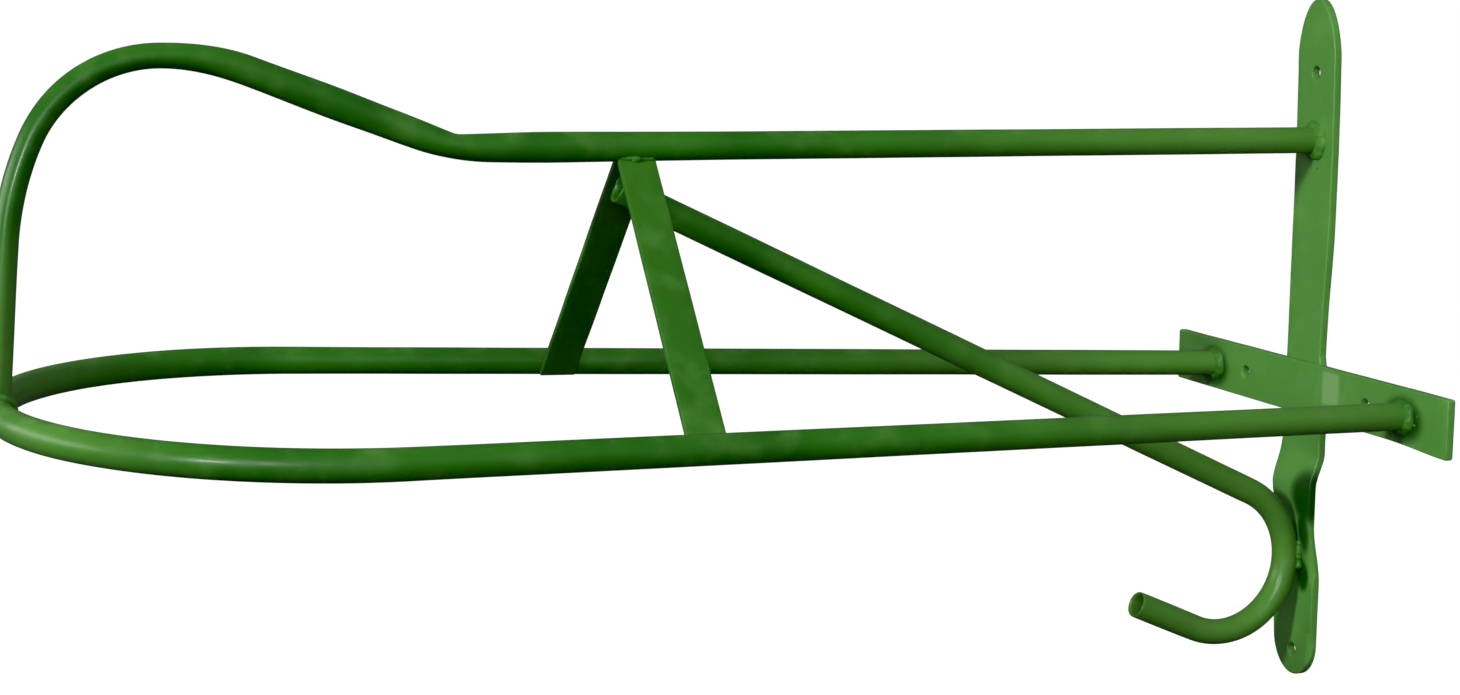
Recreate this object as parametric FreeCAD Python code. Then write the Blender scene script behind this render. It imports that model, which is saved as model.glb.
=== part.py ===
import FreeCAD, Part

# Wall-mounted saddle rack with a bridle hook, welded from round steel tube and flat steel bar.
#
# Row frame, millimetres: X runs across the wall (+X is right for a person facing the wall), Y points
# into the wall and Z is up. The rack stands out from the wall along -Y. The origin is on the wall plane,
# behind the crossing of the two wall bars.

import math
import os

from FreeCAD import Vector

# ---- stock -------------------------------------------------------------------------------------------
TUBE_OD = 12.7
TUBE_BORE = 9.7
BAR_T = 4.0
VERTICAL_BAR_W = 30.0
CROSS_BAR_W = 25.0
STRUT_T = 3.0
STRUT_W = 17.0

# ---- wall bars ---------------------------------------------------------------------------------------
BAR_TOP_Z = 188.5
BAR_BOTTOM_Z = -144.5
TOP_TIP_LENGTH = 28.0
BOTTOM_TIP_LENGTH = 17.0
CROSS_BAR_LENGTH = 229.0
CROSS_BAR_OFFSET_X = 4.0
SCREW_HOLE_D = 6.5
UPPER_HOLE_Z = 153.0
LOWER_HOLE_Z = -132.0
CROSS_HOLE_SPACING = 102.0
CROSS_HOLE_OFFSET_X = 5.5

# ---- saddle rail: level run, gentle bend, slope up to the pommel hump, crown, shoulder, riser ---------
RAIL_Z = 120.5
RAIL_BEND_Y = -430.5
RAIL_BEND_RADIUS = 90.0
RAIL_SLOPE_DEG = 20.6
RAIL_SLOPE_LENGTH = 75.0
CROWN_RADIUS = 100.0
CROWN_TURN_DEG = 21.5
SHOULDER_RADIUS = 56.0
SHOULDER_TURN_DEG = 65.5
RISER_BEND_RADIUS = 127.0
RISER_LEAN_DEG = 4.6

# ---- hoop: two arms that spread from the wall into one round nose --------------------------------------
HOOP_HALF_WIDTH_AT_WALL = 80.0
HOOP_NOSE_RADIUS = 127.5
HOOP_NOSE_Y = -618.0
HOOP_RISE_DEG = 1.5
HOOP_YAW_DEG = 0.47

# ---- struts, brace and bridle hook ---------------------------------------------------------------------
STRUT_Y = -350.0
STRUT_APEX_Z = 119.0
STRUT_LEAN_DEG = 1.5
STRUT_FOOT_OVERRUN = 0.8
BRACE_TOP_Y = -357.5
BRACE_SLOPE_DEG = 25.2
HOOK_UPPER_RADIUS = 37.0
HOOK_LOWER_RADIUS = 35.5
HOOK_CONTACT_Z = -84.5
HOOK_LIP_RISE_DEG = 23.5
HOOK_LIP_LENGTH = 36.0

# ---- weld beads ----------------------------------------------------------------------------------------
RING_WELD_LEG = 3.4
BEAD_RADIUS = 3.2
BAR_BEAD_RADIUS = 2.4
BEAD_END_MARGIN = 1.5
HOOK_BEAD_LENGTH = 24.0
BRACE_BEAD_LENGTH = 10.0
BRACE_BEAD_OUT = 7.7
BRACE_BEAD_UP = 2.6
NOSE_WELD_REACH = 2.4
NOSE_WELD_LOW = 2.0
NOSE_WELD_HIGH = 8.6

CONTACT_GAP = 0.05
ROOM = 900.0

TUBE_R = TUBE_OD / 2
BORE_R = TUBE_BORE / 2
BAR_FRONT_Y = -BAR_T
CROSS_FRONT_Y = -2 * BAR_T
HOLE_R = SCREW_HOLE_D / 2


# ---- helpers -------------------------------------------------------------------------------------------
def side_point(y, z):
    """A point in the rack's plane of symmetry."""
    return Vector(0, y, z)


def heading(degrees):
    """Unit vector in the plane of symmetry, measured from +Y towards +Z."""
    angle = math.radians(degrees)
    return Vector(0, math.cos(angle), math.sin(angle))


def bent_path(start, start_heading, moves):
    """Tangent lines and arcs in the plane of symmetry; returns the edges and the last point.

    A move is ("line", length) or ("arc", radius, turn), with a positive turn going anticlockwise
    as seen from +X.
    """
    edges = []
    point = start
    direction = start_heading
    for move in moves:
        if move[0] == "line":
            end = point + heading(direction) * move[1]
            edges.append(Part.LineSegment(point, end).toShape())
        else:
            radius, turn = move[1], move[2]
            side = 90 if turn > 0 else -90
            centre = point + heading(direction + side) * radius
            middle = centre + heading(direction - side + turn / 2) * radius
            end = centre + heading(direction - side + turn) * radius
            edges.append(Part.Arc(point, middle, end).toShape())
            direction += turn
        point = end
    return edges, point


def swept(edges, radius):
    """A round bar along a tangent path."""
    path = Part.Wire(edges)
    first = edges[0]
    start = first.valueAt(first.FirstParameter)
    tangent = first.tangentAt(first.FirstParameter)
    circle = Part.Wire(Part.makeCircle(radius, start, tangent))
    return path.makePipeShell([circle], True, False)


def largest_solid(shape):
    return max(shape.Solids, key=lambda solid: solid.Volume)


def block(low, high):
    """A box between two corners."""
    size = high - low
    return Part.makeBox(size.x, size.y, size.z, low)


def half_space_in_front_of(y):
    """Everything of the rack in front of the plane at y."""
    return block(Vector(-ROOM, -ROOM, -ROOM), Vector(ROOM, y, ROOM))


def right_half():
    """Everything of the rack on the right of its plane of symmetry."""
    return block(Vector(0, -ROOM, -ROOM), Vector(ROOM, ROOM, ROOM))


def round_bar(start, direction, length, radius):
    return Part.makeCylinder(radius, length, start, direction)


def export(name, shape):
    solid = largest_solid(shape)
    if not solid.isValid():
        raise ValueError(name + " is not a valid solid")
    solid.exportStep("parts/" + name + ".step")
    print(name, round(solid.Volume, 1), "mm3")


# ---- wall bars -----------------------------------------------------------------------------------------
def screw_hole(x, z):
    return round_bar(Vector(x, CROSS_FRONT_Y, z), Vector(0, 1, 0), -CROSS_FRONT_Y, HOLE_R)


def bar_end(centre_z, reach):
    """Half-elliptical end of the vertical bar, longer than wide; a negative reach points down."""
    centre = Vector(0, 0, centre_z)
    ellipse = Part.Ellipse(centre + Vector(0, 0, reach), centre + Vector(VERTICAL_BAR_W / 2, 0, 0), centre)
    disc = Part.Face(Part.Wire(ellipse.toShape()))
    return disc.extrude(Vector(0, -BAR_T, 0))


def make_vertical_bar():
    low_centre = BAR_BOTTOM_Z + BOTTOM_TIP_LENGTH
    high_centre = BAR_TOP_Z - TOP_TIP_LENGTH
    bar = Part.makeBox(VERTICAL_BAR_W, BAR_T, high_centre - low_centre,
                       Vector(-VERTICAL_BAR_W / 2, -BAR_T, low_centre))
    bar = bar.fuse(bar_end(high_centre, TOP_TIP_LENGTH))
    bar = bar.fuse(bar_end(low_centre, -BOTTOM_TIP_LENGTH))
    for z in (UPPER_HOLE_Z, LOWER_HOLE_Z):
        bar = bar.cut(screw_hole(0, z))
    return bar.removeSplitter()


def make_cross_bar():
    left_end = CROSS_BAR_OFFSET_X - CROSS_BAR_LENGTH / 2
    bar = Part.makeBox(CROSS_BAR_LENGTH, BAR_T, CROSS_BAR_W,
                       Vector(left_end, CROSS_FRONT_Y, -CROSS_BAR_W / 2))
    for side in (-1, 1):
        bar = bar.cut(screw_hole(CROSS_HOLE_OFFSET_X + side * CROSS_HOLE_SPACING / 2, 0))
    return bar


# ---- hoop ----------------------------------------------------------------------------------------------
def placed(shape):
    """Raise the hoop's nose about the arms' wall line, then swing the arms' wall ends to the right."""
    turned = shape.copy()
    turned.rotate(Vector(0, CROSS_FRONT_Y, 0), Vector(1, 0, 0), -HOOP_RISE_DEG)
    turned.rotate(Vector(0, HOOP_NOSE_Y, 0), Vector(0, 0, 1), -HOOP_YAW_DEG)
    return turned


def placed_point(point):
    return placed(Part.Vertex(point)).Point


NOSE_CENTRE_Y = HOOP_NOSE_Y + HOOP_NOSE_RADIUS
ARM_REACH = CROSS_FRONT_Y - NOSE_CENTRE_Y
ARM_SPREAD = (math.asin(HOOP_NOSE_RADIUS / math.hypot(HOOP_HALF_WIDTH_AT_WALL, ARM_REACH))
              - math.atan2(HOOP_HALF_WIDTH_AT_WALL, ARM_REACH))


def hoop_edges(overrun):
    """The hoop's centreline, with the arms running past the cross bar's face by the overrun."""
    points = []
    for side in (1, -1):
        wall = Vector(side * HOOP_HALF_WIDTH_AT_WALL, CROSS_FRONT_Y, 0)
        inward = Vector(-side * math.sin(ARM_SPREAD), math.cos(ARM_SPREAD), 0)
        tangent = Vector(side * HOOP_NOSE_RADIUS * math.cos(ARM_SPREAD),
                         NOSE_CENTRE_Y + HOOP_NOSE_RADIUS * math.sin(ARM_SPREAD), 0)
        points.append((wall + inward * overrun, tangent))
    (right_wall, right_tangent), (left_wall, left_tangent) = points
    nose = Vector(0, HOOP_NOSE_Y, 0)
    return [
        Part.LineSegment(right_wall, right_tangent).toShape(),
        Part.Arc(right_tangent, nose, left_tangent).toShape(),
        Part.LineSegment(left_tangent, left_wall).toShape(),
    ]


def arm_point(side, y):
    """Centre of an arm at a distance y from the wall; the left arm (side -1) is reflected to the right."""
    x = HOOP_HALF_WIDTH_AT_WALL + (CROSS_FRONT_Y - y) * math.tan(ARM_SPREAD)
    point = placed_point(Vector(side * x, y, 0))
    return Vector(side * point.x, point.y, point.z)


def arm_end(side):
    """Where an arm's centreline meets the cross bar, and its direction away from the wall."""
    near_wall = arm_point(side, CROSS_FRONT_Y)
    direction = arm_point(side, STRUT_Y) - near_wall
    direction.normalize()
    return near_wall + direction * ((CROSS_FRONT_Y - near_wall.y) / direction.y), direction


def make_hoop_envelope():
    return placed(swept(hoop_edges(TUBE_OD), TUBE_R))


def make_hoop(envelope):
    bore = placed(swept(hoop_edges(TUBE_OD), BORE_R))
    return envelope.cut(bore).common(half_space_in_front_of(CROSS_FRONT_Y))


# ---- saddle rail ---------------------------------------------------------------------------------------
def rail_edges():
    bend_reach = RAIL_BEND_RADIUS * math.tan(math.radians(RAIL_SLOPE_DEG / 2))
    level_run = BAR_FRONT_Y - RAIL_BEND_Y - bend_reach
    riser_turn = RAIL_SLOPE_DEG + 90 - RISER_LEAN_DEG - CROWN_TURN_DEG - SHOULDER_TURN_DEG
    moves = [
        ("line", level_run),
        ("arc", RAIL_BEND_RADIUS, -RAIL_SLOPE_DEG),
        ("line", RAIL_SLOPE_LENGTH),
        ("arc", CROWN_RADIUS, CROWN_TURN_DEG),
        ("arc", SHOULDER_RADIUS, SHOULDER_TURN_DEG),
        ("arc", RISER_BEND_RADIUS, riser_turn),
    ]
    start = side_point(BAR_FRONT_Y, RAIL_Z)
    edges, riser_top = bent_path(start, 180, moves)
    nose_z = placed_point(Vector(0, HOOP_NOSE_Y, 0)).z
    riser_length = (riser_top.z - nose_z) / math.cos(math.radians(RISER_LEAN_DEG))
    riser_heading = 270 - RISER_LEAN_DEG
    foot = riser_top + heading(riser_heading) * riser_length
    edges.append(Part.LineSegment(riser_top, foot).toShape())
    return edges, foot


# ---- struts --------------------------------------------------------------------------------------------
class StrutLine:
    """Outer face of a strut in its own X, Z plane, where it leans on the arm's inner flank.

    The left strut is built as a right one beside the reflected hoop, and reflected back at the end.
    """

    def __init__(self, side):
        arm = arm_point(side, STRUT_Y)
        drop = STRUT_APEX_Z - arm.z
        span = math.hypot(arm.x, drop)
        self.angle = math.atan2(drop, arm.x) + math.asin(TUBE_R / span)
        self.touch = math.sqrt(span ** 2 - TUBE_R ** 2)
        self.down = Vector(math.cos(self.angle), 0, -math.sin(self.angle))
        self.out = Vector(math.sin(self.angle), 0, math.cos(self.angle))
        self.apex = Vector(0, STRUT_Y, STRUT_APEX_Z)

    def at(self, along, outward):
        return self.apex + self.down * along + self.out * outward


def leaned(shape):
    """Swing the feet of the struts away from the wall about their apex."""
    turned = shape.copy()
    turned.rotate(Vector(0, STRUT_Y, STRUT_APEX_Z), Vector(1, 0, 0), -STRUT_LEAN_DEG)
    return turned


def mirrored(shape):
    return shape.mirror(Vector(0, 0, 0), Vector(1, 0, 0))


def make_strut(line, rail_envelope, hoop_envelope):
    back = Vector(0, -STRUT_W / 2, 0)
    end = line.touch + STRUT_FOOT_OVERRUN
    corners = [line.at(-TUBE_R, 0), line.at(end, 0), line.at(end, -STRUT_T), line.at(-TUBE_R, -STRUT_T)]
    corners = [corner + back for corner in corners]
    strut = leaned(Part.Face(Part.makePolygon(corners + corners[:1])).extrude(Vector(0, STRUT_W, 0)))
    return strut.common(right_half()).cut(rail_envelope).cut(hoop_envelope)


# ---- brace and bridle hook -----------------------------------------------------------------------------
def brace_edges():
    """One tube: brace top, straight run down, back against the vertical bar, forward into the hook."""
    contact = side_point(BAR_FRONT_Y - TUBE_R - CONTACT_GAP, HOOK_CONTACT_Z)
    upper_turn = 90 - BRACE_SLOPE_DEG
    upper_centre = contact + heading(180) * HOOK_UPPER_RADIUS
    straight_end = upper_centre + heading(upper_turn) * HOOK_UPPER_RADIUS
    straight_length = (straight_end.y - BRACE_TOP_Y) / math.cos(math.radians(BRACE_SLOPE_DEG))
    start = straight_end + heading(180 - BRACE_SLOPE_DEG) * straight_length
    moves = [
        ("line", straight_length),
        ("arc", HOOK_UPPER_RADIUS, -upper_turn),
        ("arc", HOOK_LOWER_RADIUS, -(90 + HOOK_LIP_RISE_DEG)),
        ("line", HOOK_LIP_LENGTH),
    ]
    edges, _ = bent_path(start, -BRACE_SLOPE_DEG, moves)
    return edges, start


# ---- weld beads ----------------------------------------------------------------------------------------
def ring_weld(foot, direction, envelope, face_y):
    """Fillet ring where a tube meets a bar's front face."""
    base = foot - direction * RING_WELD_LEG
    cone = Part.makeCone(TUBE_R + 2 * RING_WELD_LEG, TUBE_R, 2 * RING_WELD_LEG, base, direction)
    return cone.cut(envelope).common(half_space_in_front_of(face_y))


def make_nose_weld(foot, rail_envelope, hoop_envelope):
    """Collar round the riser's foot, lying on the hoop's nose."""
    base = foot + Vector(0, 0, NOSE_WELD_LOW)
    height = NOSE_WELD_HIGH - NOSE_WELD_LOW
    collar = Part.makeCone(TUBE_R + NOSE_WELD_REACH, TUBE_R + NOSE_WELD_REACH / 4, height, base, Vector(0, 0, 1))
    return collar.cut(rail_envelope).cut(hoop_envelope)


def make_strut_top_weld(line, strut, rail_envelope):
    """Bead in the corner between the strut's outer face and the rail's flank."""
    rail_drop = RAIL_Z - STRUT_APEX_Z
    off_axis = rail_drop * math.cos(line.angle)
    corner = math.sqrt(TUBE_R ** 2 - off_axis ** 2) - rail_drop * math.sin(line.angle)
    start = line.at(corner, 0) + Vector(0, -STRUT_W / 2, 0)
    bead = round_bar(start, Vector(0, 1, 0), STRUT_W, BEAD_RADIUS)
    return bead.cut(strut).cut(rail_envelope).common(right_half())


def make_strut_foot_weld(line, strut, hoop_envelope):
    """Bead in the notch between the strut's outer face and the top of the arm."""
    start = line.at(line.touch - 2 * BEAD_RADIUS, BEAD_RADIUS / 2) + Vector(0, -STRUT_W / 2, 0)
    bead = leaned(round_bar(start, Vector(0, 1, 0), STRUT_W, BEAD_RADIUS))
    return bead.cut(strut).cut(hoop_envelope)


def make_brace_weld(strut, brace_start, brace_envelope):
    """Short bead that bridges the brace's top end and the strut's inner face."""
    axis = heading(-BRACE_SLOPE_DEG / 2)
    start = brace_start + axis * BEAD_END_MARGIN + Vector(BRACE_BEAD_OUT, 0, BRACE_BEAD_UP)
    bead = round_bar(start, axis, BRACE_BEAD_LENGTH, BEAD_RADIUS)
    return bead.cut(strut).cut(brace_envelope)


def make_hook_weld(vertical_bar, brace_envelope):
    """Bead beside the hook's contact line on the vertical bar, on the right."""
    start = Vector(TUBE_R, BAR_FRONT_Y - BAR_BEAD_RADIUS / 2, HOOK_CONTACT_Z - HOOK_BEAD_LENGTH / 2)
    bead = round_bar(start, Vector(0, 0, 1), HOOK_BEAD_LENGTH, BEAD_RADIUS)
    return bead.common(half_space_in_front_of(BAR_FRONT_Y)).cut(brace_envelope).cut(vertical_bar)


def make_bar_lower_weld():
    """Quarter-round bead under the cross bar, on the vertical bar's front face."""
    half = VERTICAL_BAR_W / 2 - BEAD_END_MARGIN
    bead = round_bar(Vector(-half, BAR_FRONT_Y, -CROSS_BAR_W / 2), Vector(1, 0, 0), 2 * half, BAR_BEAD_RADIUS)
    below = block(Vector(-ROOM, -ROOM, -ROOM), Vector(ROOM, BAR_FRONT_Y, -CROSS_BAR_W / 2))
    return bead.common(below)


def make_bar_back_weld():
    """Quarter-round bead beside the vertical bar, on the cross bar's back face, on the right."""
    half = CROSS_BAR_W / 2 - BEAD_END_MARGIN
    corner = Vector(VERTICAL_BAR_W / 2, BAR_FRONT_Y, -half)
    bead = round_bar(corner, Vector(0, 0, 1), 2 * half, BAR_BEAD_RADIUS)
    behind = block(Vector(VERTICAL_BAR_W / 2, BAR_FRONT_Y, -ROOM), Vector(ROOM, ROOM, ROOM))
    return bead.common(behind)


# ---- the assembly --------------------------------------------------------------------------------------
def main():
    os.makedirs("parts", exist_ok=True)

    vertical_bar = make_vertical_bar()
    hoop_envelope = make_hoop_envelope()
    rail_path, rail_foot = rail_edges()
    rail_envelope = swept(rail_path, TUBE_R)
    brace_path, brace_start = brace_edges()
    brace_envelope = swept(brace_path, TUBE_R)

    export("vertical_wall_bar", vertical_bar)
    export("cross_wall_bar", make_cross_bar())
    export("hoop_tube", make_hoop(hoop_envelope))
    export("saddle_rail_tube", rail_envelope.cut(swept(rail_path, BORE_R)).cut(hoop_envelope))
    export("brace_and_hook_tube", brace_envelope.cut(swept(brace_path, BORE_R)))

    rail_ring = ring_weld(side_point(BAR_FRONT_Y, RAIL_Z), Vector(0, -1, 0), rail_envelope, BAR_FRONT_Y)
    export("rail_wall_weld", rail_ring)
    export("rail_nose_weld", make_nose_weld(rail_foot, rail_envelope, hoop_envelope))
    export("bar_joint_lower_weld", make_bar_lower_weld())

    for name, side in (("right", 1), ("left", -1)):
        hoop_beside = hoop_envelope if side > 0 else mirrored(hoop_envelope)
        line = StrutLine(side)
        strut = make_strut(line, rail_envelope, hoop_beside)
        foot, direction = arm_end(side)
        pieces = {
            "strut": strut,
            "hoop_end_weld": ring_weld(foot, direction, hoop_beside, CROSS_FRONT_Y),
            "strut_top_weld": make_strut_top_weld(line, strut, rail_envelope),
            "strut_foot_weld": make_strut_foot_weld(line, strut, hoop_beside),
            "brace_top_weld": make_brace_weld(strut, brace_start, brace_envelope),
            "hook_weld": make_hook_weld(vertical_bar, brace_envelope),
            "bar_joint_back_weld": make_bar_back_weld(),
        }
        for piece, shape in pieces.items():
            solid = largest_solid(shape)
            export(name + "_" + piece, solid if side > 0 else mirrored(solid))


main()
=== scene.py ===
import math
import random

import bmesh
import bpy
from mathutils import Matrix, Vector, noise


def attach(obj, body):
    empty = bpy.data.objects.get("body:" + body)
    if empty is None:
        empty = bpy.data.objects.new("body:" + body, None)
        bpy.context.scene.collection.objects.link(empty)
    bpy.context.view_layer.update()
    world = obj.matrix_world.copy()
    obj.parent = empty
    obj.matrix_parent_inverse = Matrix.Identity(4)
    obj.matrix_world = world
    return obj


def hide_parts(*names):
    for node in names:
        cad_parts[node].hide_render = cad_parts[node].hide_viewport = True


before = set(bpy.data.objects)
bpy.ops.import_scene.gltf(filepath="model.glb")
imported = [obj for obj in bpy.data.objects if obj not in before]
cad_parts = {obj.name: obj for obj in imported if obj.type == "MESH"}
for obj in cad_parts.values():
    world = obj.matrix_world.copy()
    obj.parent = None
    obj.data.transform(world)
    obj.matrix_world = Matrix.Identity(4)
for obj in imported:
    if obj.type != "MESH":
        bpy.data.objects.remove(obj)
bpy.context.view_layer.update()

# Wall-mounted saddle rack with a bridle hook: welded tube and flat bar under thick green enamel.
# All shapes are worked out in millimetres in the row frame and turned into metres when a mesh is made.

MM = 0.001

# ---- sizes shared with the CAD part, millimetres --------------------------------------------------------
TUBE_R = 6.35
BORE_R = 4.85
BAR_T = 4.0
VERTICAL_BAR_W = 30.0
CROSS_BAR_W = 25.0
CROSS_BAR_LENGTH = 229.0
CROSS_BAR_OFFSET_X = 4.0
CROSS_HOLE_SPACING = 102.0
CROSS_HOLE_OFFSET_X = 5.5
STRUT_T = 3.0
STRUT_W = 17.0
BAR_TOP_Z = 188.5
BAR_BOTTOM_Z = -144.5
TOP_TIP_LENGTH = 28.0
BOTTOM_TIP_LENGTH = 17.0
HOLE_R = 3.25
UPPER_HOLE_Z = 153.0
LOWER_HOLE_Z = -132.0
RAIL_Z = 120.5
RAIL_BEND_Y = -430.5
RAIL_BEND_RADIUS = 90.0
RAIL_SLOPE_DEG = 20.6
RAIL_SLOPE_LENGTH = 75.0
CROWN_RADIUS = 100.0
CROWN_TURN_DEG = 21.5
SHOULDER_RADIUS = 56.0
SHOULDER_TURN_DEG = 65.5
RISER_BEND_RADIUS = 127.0
RISER_LEAN_DEG = 4.6
HOOP_HALF_WIDTH_AT_WALL = 80.0
HOOP_NOSE_RADIUS = 127.5
HOOP_NOSE_Y = -618.0
HOOP_RISE_DEG = 1.5
HOOP_YAW_DEG = 0.47
STRUT_Y = -350.0
STRUT_APEX_Z = 119.0
STRUT_LEAN_DEG = 1.5
STRUT_FOOT_OVERRUN = 0.8
BRACE_TOP_Y = -357.5
BRACE_SLOPE_DEG = 25.2
HOOK_UPPER_RADIUS = 37.0
HOOK_LOWER_RADIUS = 35.5
HOOK_CONTACT_Z = -84.5
HOOK_LIP_RISE_DEG = 23.5
HOOK_LIP_LENGTH = 36.0
CONTACT_GAP = 0.05
BAR_FRONT_Y = -BAR_T
CROSS_FRONT_Y = -2 * BAR_T

# ---- what hand work and paint do to those sizes, millimetres --------------------------------------------
HOOP_BEND_SQUASH = 0.28
HOOK_BEND_SQUASH = 0.3
BEND_BULGE = 0.2
COPE_SINK = 0.3
BRACE_BORE_DEPTH = 60
HOOK_BORE_DEPTH = 34
VERTICAL_EDGE_SWELL = 0.5
CROSS_EDGE_SWELL = 0.35
EDGE_WANDER = 0.25
WAIST_DEPTH = 2.8
LEFT_BOW = 5.2
LOWER_LEFT_BOW = 1.4
RIGHT_BOW = 4.3
TOP_LEAN = 1.3
EDGE_ROLL_DEPTH = 1.5
HOLE_CHOKE_FRONT = 0.05
HOLE_CHOKE_GROWTH = 0.65
CROSS_CORNER = 0.8
CORNER_FLARE = 1.7
STRUT_TOP_GAP = 3.2
STRUT_FOOT_DRESSED = 1.6
BRACE_BEAD_LENGTH = 10.0
BRACE_BEAD_OUT = 7.7
BRACE_BEAD_UP = 2.6
HOOK_BEAD_LENGTH = 15.0
BEAD_END_MARGIN = 1.5
VERTICAL_EDGE_ROUND = 0.6
CROSS_EDGE_ROUND = 0.55
STRUT_EDGE_ROUND = 0.5
# a share of the tube's radius, and a slope
TUBE_UNEVENNESS = 0.012
CROSS_BAR_TILT = 0.002

# ---- mesh density ---------------------------------------------------------------------------------------
RING_POINTS = 40
BEAD_RING_POINTS = 16
LINE_STEP = 6.0
ARC_STEP = 2.2
TIP_STEPS = 24
EDGE_STEPS = 40
JOINT_STEPS = 40
COLLAR_SPOKES = 120
COLLAR_STEPS = 12
CREASE_DEG = 40


# ---- small maths ----------------------------------------------------------------------------------------
def heading(degrees):
    """Unit vector in the plane of symmetry, from +Y towards +Z."""
    angle = math.radians(degrees)
    return Vector((0, math.cos(angle), math.sin(angle)))


def smooth(low, high, value):
    t = min(1.0, max(0.0, (value - low) / (high - low)))
    return t * t * (3 - 2 * t)


def bump(centre, width, value):
    return math.exp(-((value - centre) / width) ** 2)


def ease_between(knots, value):
    """Smooth interpolation through (place, amount) pairs."""
    if value <= knots[0][0]:
        return knots[0][1]
    for (a, at_a), (b, at_b) in zip(knots, knots[1:]):
        if value <= b:
            return at_a + (at_b - at_a) * smooth(a, b, value)
    return knots[-1][1]


# ---- mesh helpers ---------------------------------------------------------------------------------------
def skin(bm, rings, looped=False):
    """Quads between rings of equal length; unless looped, the first and last are closed by a fan."""
    rows = [[bm.verts.new(p) for p in ring] for ring in rings]
    pairs = list(zip(rows, rows[1:]))
    if looped:
        pairs.append((rows[-1], rows[0]))
    for low, high in pairs:
        for i in range(len(low)):
            j = (i + 1) % len(low)
            bm.faces.new((low[i], low[j], high[j], high[i]))
    if not looped:
        for row in (rows[0], rows[-1]):
            middle = bm.verts.new(sum((v.co for v in row), Vector()) / len(row))
            for i in range(len(row)):
                bm.faces.new((row[i], row[(i + 1) % len(row)], middle))


def oval(centre, up, side, half_up, half_side, points=RING_POINTS):
    ring = []
    for i in range(points):
        a = 2 * math.pi * i / points
        ring.append(centre + up * (half_up * math.cos(a)) + side * (half_side * math.sin(a)))
    return ring


def finish_piece(name, bm, node, material):
    """Scale the mesh to metres, make the object and hang it on the CAD body."""
    bmesh.ops.recalc_face_normals(bm, faces=bm.faces)
    for vert in bm.verts:
        vert.co *= MM
    mesh = bpy.data.meshes.new(name)
    bm.to_mesh(mesh)
    bm.free()
    mesh.shade_smooth()
    mesh.set_sharp_from_angle(angle=math.radians(CREASE_DEG))
    mesh.materials.append(material)
    piece = bpy.data.objects.new(name, mesh)
    bpy.context.scene.collection.objects.link(piece)
    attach(piece, "root")
    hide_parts(node)
    return piece


# ---- tube paths -----------------------------------------------------------------------------------------
def symmetric_path(start, start_heading, moves):
    """Stations (centre, heading) along lines and arcs, and the distance at which each move ends."""
    stations, ends = [], []
    point, direction, travelled = start, start_heading, 0.0
    for move in moves:
        if move[0] == "line":
            length = move[1]
            count = max(1, round(length / LINE_STEP))
            for i in range(count):
                along = length * (i / count)
                stations.append((point + heading(direction) * along, direction, travelled + along))
            point = point + heading(direction) * length
        else:
            radius, turn = move[1], move[2]
            length = radius * math.radians(abs(turn))
            count = max(2, round(length / ARC_STEP))
            side = 90 if turn > 0 else -90
            centre = point + heading(direction + side) * radius
            for i in range(count):
                t = i / count
                spoke = heading(direction - side + turn * t)
                stations.append((centre + spoke * radius, direction + turn * t, travelled + length * t))
            point = centre + heading(direction - side + turn) * radius
            direction += turn
        travelled += length
        ends.append(travelled)
    stations.append((point, direction, travelled))
    return stations, ends


def placed(point):
    """The hoop's nose is raised about the arms' wall line, and the arms' wall ends swing to the right."""
    rise = Matrix.Rotation(-math.radians(HOOP_RISE_DEG), 3, "X")
    swing = Matrix.Rotation(-math.radians(HOOP_YAW_DEG), 3, "Z")
    hinge, pin = Vector((0, CROSS_FRONT_Y, 0)), Vector((0, HOOP_NOSE_Y, 0))
    return swing @ (rise @ (point - hinge) + hinge - pin) + pin


NOSE_CENTRE_Y = HOOP_NOSE_Y + HOOP_NOSE_RADIUS
ARM_REACH = CROSS_FRONT_Y - NOSE_CENTRE_Y
ARM_SPREAD = (math.asin(HOOP_NOSE_RADIUS / math.hypot(HOOP_HALF_WIDTH_AT_WALL, ARM_REACH))
              - math.atan2(HOOP_HALF_WIDTH_AT_WALL, ARM_REACH))
NOSE = placed(Vector((0, HOOP_NOSE_Y, 0)))


def arm_point(side, y):
    """Centre of an arm at a distance y from the wall."""
    x = HOOP_HALF_WIDTH_AT_WALL + (CROSS_FRONT_Y - y) * math.tan(ARM_SPREAD)
    return placed(Vector((side * x, y, 0)))


def hoop_stations():
    """(centre, outward) of the flat hoop from the right arm's wall end round to the left arm's."""
    tangent = Vector((HOOP_NOSE_RADIUS * math.cos(ARM_SPREAD),
                      NOSE_CENTRE_Y + HOOP_NOSE_RADIUS * math.sin(ARM_SPREAD), 0))
    wall = Vector((HOOP_HALF_WIDTH_AT_WALL, CROSS_FRONT_Y, 0))
    outward = Vector((math.cos(ARM_SPREAD), math.sin(ARM_SPREAD), 0))
    count = round((tangent - wall).length / LINE_STEP)
    right = [(wall.lerp(tangent, i / count), outward) for i in range(count)]
    sweep = math.pi / 2 + ARM_SPREAD
    steps = round(HOOP_NOSE_RADIUS * sweep / ARC_STEP)
    for i in range(steps + 1):
        a = ARM_SPREAD - sweep * i / steps
        spoke = Vector((math.cos(a), math.sin(a), 0))
        right.append((Vector((0, NOSE_CENTRE_Y, 0)) + spoke * HOOP_NOSE_RADIUS, spoke))
    left = []
    for centre, spoke in reversed(right[:-1]):
        left.append((Vector((-centre.x, centre.y, 0)), Vector((-spoke.x, spoke.y, 0))))
    return right + left


# ---- tube meshes ----------------------------------------------------------------------------------------
def dent(point):
    """Very slight unevenness of drawn and hand-bent tube."""
    return 1 + TUBE_UNEVENNESS * noise.noise(point * 0.022)


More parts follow.
